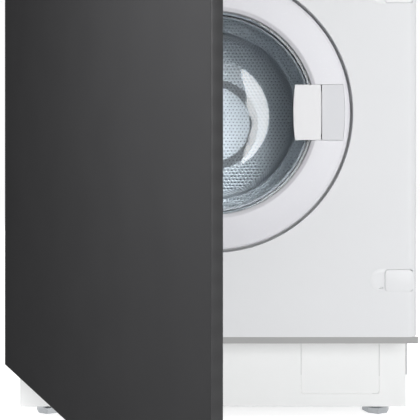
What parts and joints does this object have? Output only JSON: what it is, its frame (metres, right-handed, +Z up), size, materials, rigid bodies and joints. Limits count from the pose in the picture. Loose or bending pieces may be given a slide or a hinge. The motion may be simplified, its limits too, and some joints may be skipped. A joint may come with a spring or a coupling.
{
  "type": "built-in washing machine",
  "caption": "Front-loading washing machine for a kitchen run, with a porthole in its white front, a rotating drum and a hinged furniture door over it.",
  "frame": {"origin": "on the floor, at the middle of the plan outline taken with the furniture door open as shown; Y = 0 is the white front", "axes": "+X to the right seen from the front, +Y into the machine towards its back, +Z up"},
  "size_m": [0.5961, 1.0551, 0.82],
  "materials": {
    "white_front": "smooth semi-gloss white paint",
    "white_sheet": "smooth white paint",
    "zinc_sheet": "zinc-coated sheet",
    "cabinet_back": "zinc-coated sheet",
    "base_polymer": "moulded polymer, matt",
    "strip_grey": "smooth grey paint",
    "kick_white": "smooth white paint",
    "white_plastic": "white moulding, satin gloss",
    "ring_plastic": "white moulding, gloss",
    "handle_plastic": "white moulding, satin gloss",
    "cap_plastic": "white moulding, matt",
    "dark_window": "dark tinted window",
    "module_plastic": "moulded polymer",
    "grey_plastic": "moulded polymer",
    "black_plastic": "moulded polymer",
    "inner_ring_plastic": "moulded polymer",
    "door_bowl": "clear pressed glass",
    "gasket_rubber": "grey moulded rubber",
    "hose_rubber": "black rubber",
    "drum_steel": "stainless steel, perforated",
    "spider_cast": "cast aluminium, as cast",
    "steel_part": "plated steel",
    "nickel": "nickel-plated zinc and steel",
    "tub_polymer": "filled polymer, matt",
    "concrete": "cast concrete",
    "motor_metal": "painted aluminium housing",
    "brass_valve": "moulded polymer",
    "foot_steel": "plated steel with a polymer pad",
    "panel_laminate": "dark grey laminate on board, smooth matt"
  },
  "bodies": {
    "machine": {"front_panel": "white_front", "side_panel_left": "white_sheet", "side_panel_right": "white_sheet", "rear_panel": "cabinet_back", "rear_access_cover": "cabinet_back", "top_panel": "white_sheet", "base_tray": "base_polymer", "base_front_rail": "strip_grey", "kick_plate": "kick_white", "leveling_feet": "foot_steel", "top_crossbars": "zinc_sheet", "control_fascia": "white_plastic", "display_window": "dark_window", "control_module": "module_plastic", "tub": "tub_polymer", "door_gasket": "gasket_rubber", "motor_body": "motor_metal", "drive_belt": "hose_rubber", "top_counterweight": "concrete", "front_counterweight": "concrete", "heater_element": "steel_part", "suspension_springs": "steel_part", "shock_absorbers": "black_plastic", "drain_pump": "grey_plastic", "sump_hose": "hose_rubber", "drain_hose": "hose_rubber", "drain_outlet": "grey_plastic", "water_inlet_valve": "brass_valve", "dispenser_housing": "module_plastic", "fill_hose": "hose_rubber", "pressure_switch": "grey_plastic", "cable_gland": "black_plastic", "door_lock": "black_plastic", "porthole_hinge_bracket": "nickel", "hinge_caps": "cap_plastic", "hinge_arms": "nickel", "magnet_catch": "grey_plastic"},
    "furniture_door": {"furniture_panel": "panel_laminate", "hinge_cups": "nickel", "striker_plate": "nickel"},
    "porthole_door": {"door_outer_ring": "ring_plastic", "door_inner_ring": "inner_ring_plastic", "door_glass": "door_bowl", "door_hinge_leaf": "nickel", "handle_cover": "handle_plastic"},
    "door_handle_lever": {"door_handle": "handle_plastic"},
    "drum": {"drum_shell": "drum_steel", "drum_lifters": "drum_steel", "drum_shaft": "spider_cast", "drum_pulley": "spider_cast"},
    "motor_rotor": {"motor_pulley": "steel_part"},
    "drawer": {"detergent_drawer": "white_plastic"},
    "knob": {"program_knob": "white_plastic"},
    "filter_cap": {"pump_filter_cap": "white_plastic"},
    "flap": {"pump_flap": "kick_white"},
    "power_key": {"power_button": "white_plastic"},
    "start_key": {"start_button": "white_plastic"},
    "temperature_key": {"temperature_button": "white_plastic"},
    "spin_key": {"spin_button": "white_plastic"},
    "delay_key": {"delay_button": "white_plastic"}
  },
  "joints": [
    {"name": "furniture_door_swing", "type": "hinge", "parent": "machine", "child": "furniture_door", "pos_m": [-0.2875, -0.011, 0.4258], "axis": [0, 0, -1], "range_deg": [-60, 30]},
    {"name": "porthole_door_swing", "type": "hinge", "parent": "machine", "child": "porthole_door", "pos_m": [-0.19, 0.0028, 0.46], "axis": [0, 0, -1], "range_deg": [0, 68]},
    {"name": "handle_pull", "type": "hinge", "parent": "porthole_door", "child": "door_handle_lever", "pos_m": [0.1595, 0.0005, 0.46], "axis": [0, 0, 1], "range_deg": [0, 14], "stiffness_Nm_per_rad": 0.3, "springref_deg": -5.73},
    {"name": "drum_spin", "type": "hinge", "parent": "machine", "child": "drum", "pos_m": [0, 0.2, 0.46], "axis": [0, 1, 0], "continuous": true},
    {"name": "motor_spin", "type": "hinge", "parent": "machine", "child": "motor_rotor", "pos_m": [-0.095, 0.46, 0.148], "axis": [0, 1, 0], "continuous": true},
    {"name": "drawer_slide", "type": "slide", "parent": "machine", "child": "drawer", "axis": [0, -1, 0], "range_m": [0, 0.17]},
    {"name": "knob_turn", "type": "hinge", "parent": "machine", "child": "knob", "pos_m": [-0.008, 0, 0.768], "axis": [0, -1, 0], "continuous": true},
    {"name": "filter_cap_turn", "type": "hinge", "parent": "machine", "child": "filter_cap", "pos_m": [0.195, 0.08, 0.095], "axis": [0, -1, 0], "range_deg": [0, 90]},
    {"name": "flap_tilt", "type": "hinge", "parent": "machine", "child": "flap", "pos_m": [0.195, 0.0666, 0.037], "axis": [1, 0, 0], "range_deg": [0, 80]},
    {"name": "power_push", "type": "slide", "parent": "machine", "child": "power_key", "axis": [0, 1, 0], "range_m": [0, 0.002], "stiffness_N_per_m": 400, "springref_m": -0.001},
    {"name": "start_push", "type": "slide", "parent": "machine", "child": "start_key", "axis": [0, 1, 0], "range_m": [0, 0.002], "stiffness_N_per_m": 400, "springref_m": -0.001},
    {"name": "temperature_push", "type": "slide", "parent": "machine", "child": "temperature_key", "axis": [0, 1, 0], "range_m": [0, 0.002], "stiffness_N_per_m": 400, "springref_m": -0.001},
    {"name": "spin_push", "type": "slide", "parent": "machine", "child": "spin_key", "axis": [0, 1, 0], "range_m": [0, 0.002], "stiffness_N_per_m": 400, "springref_m": -0.001},
    {"name": "delay_push", "type": "slide", "parent": "machine", "child": "delay_key", "axis": [0, 1, 0], "range_m": [0, 0.002], "stiffness_N_per_m": 400, "springref_m": -0.001}
  ],
  "couplings": [
    {"joint": "motor_spin", "follows": "drum_spin", "ratio": 11.25}
  ]
}
